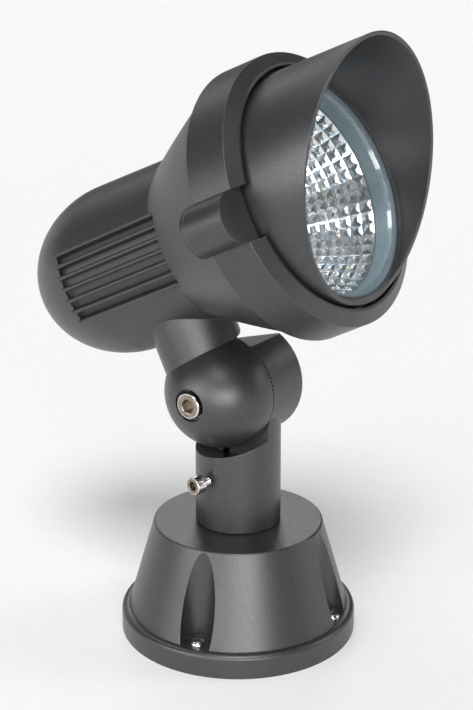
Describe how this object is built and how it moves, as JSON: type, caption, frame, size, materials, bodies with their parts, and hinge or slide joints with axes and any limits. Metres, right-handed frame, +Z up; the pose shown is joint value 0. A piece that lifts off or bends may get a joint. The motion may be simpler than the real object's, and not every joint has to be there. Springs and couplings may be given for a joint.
{
  "type": "outdoor spotlight",
  "caption": "Outdoor LED spotlight: bullet head with a slanted glare hood and side cooling ribs, tilting on a serrated knuckle over a post and a round conical surface base.",
  "frame": {"origin": "centre of the base's underside, on the axis of the post", "axes": "+Z up along the post, the lamp faces -Y, the tilting joint's pivot runs along X with its screw on the -X side"},
  "size_m": [0.1198, 0.1486, 0.2366],
  "materials": {
    "housing_coat": "fine-textured anthracite powder coat",
    "hood_coat": "fine-textured anthracite powder coat",
    "base_coat": "fine-textured anthracite powder coat",
    "stainless": "stainless screws, bright",
    "zinc_steel": "zinc-plated steel",
    "turned_aluminium": "turned aluminium, bare",
    "mirror_reflector": "vacuum-metallised facets",
    "clear_glass": "clear toughened glass",
    "grey_silicone": "blue-grey silicone",
    "black_rubber": "black rubber",
    "white_plastic": "white thermoplastic",
    "led_ceramic": "white ceramic board",
    "phosphor": "yellow phosphor",
    "driver_case": "pale grey potted case",
    "lead_sleeve": "silicone wire sleeve"
  },
  "bodies": {
    "base": {"base_canopy": "base_coat", "base_plate": "zinc_steel", "base_gasket": "black_rubber", "canopy_screws": "stainless", "cable_grommet": "black_rubber", "terminal_block": "white_plastic", "earth_screw": "stainless", "base_spigot": "turned_aluminium", "spigot_o_ring": "black_rubber", "spigot_washer": "zinc_steel", "spigot_nut": "zinc_steel"},
    "post": {"post": "base_coat", "pivot_screw": "stainless", "pivot_nut": "stainless"},
    "set_screw": {"set_screw": "stainless"},
    "head": {"lamp_housing": "housing_coat", "front_ring": "housing_coat", "ring_screws": "stainless", "housing_seal": "black_rubber", "hood": "hood_coat", "front_glass": "clear_glass", "glass_gasket": "grey_silicone", "reflector": "mirror_reflector", "heat_spreader": "turned_aluminium", "spreader_screws": "stainless", "led_board": "led_ceramic", "led_emitter": "phosphor", "led_holder": "white_plastic", "led_leads": "lead_sleeve", "driver": "driver_case", "driver_bracket": "zinc_steel", "pivot_washer": "stainless"}
  },
  "joints": [
    {"name": "post_swivel", "type": "hinge", "parent": "base", "child": "post", "pos_m": [0, 0, 0.045], "axis": [0, 0, 1], "range_deg": [-170, 170]},
    {"name": "head_tilt", "type": "hinge", "parent": "post", "child": "head", "pos_m": [0, 0.0035, 0.0988], "axis": [-1, 0, 0], "range_deg": [-56, 64]},
    {"name": "set_screw_slide", "type": "slide", "parent": "post", "child": "set_screw", "axis": [0.9816, -0.1908, 0], "range_m": [-0.002, 0.0015]}
  ]
}
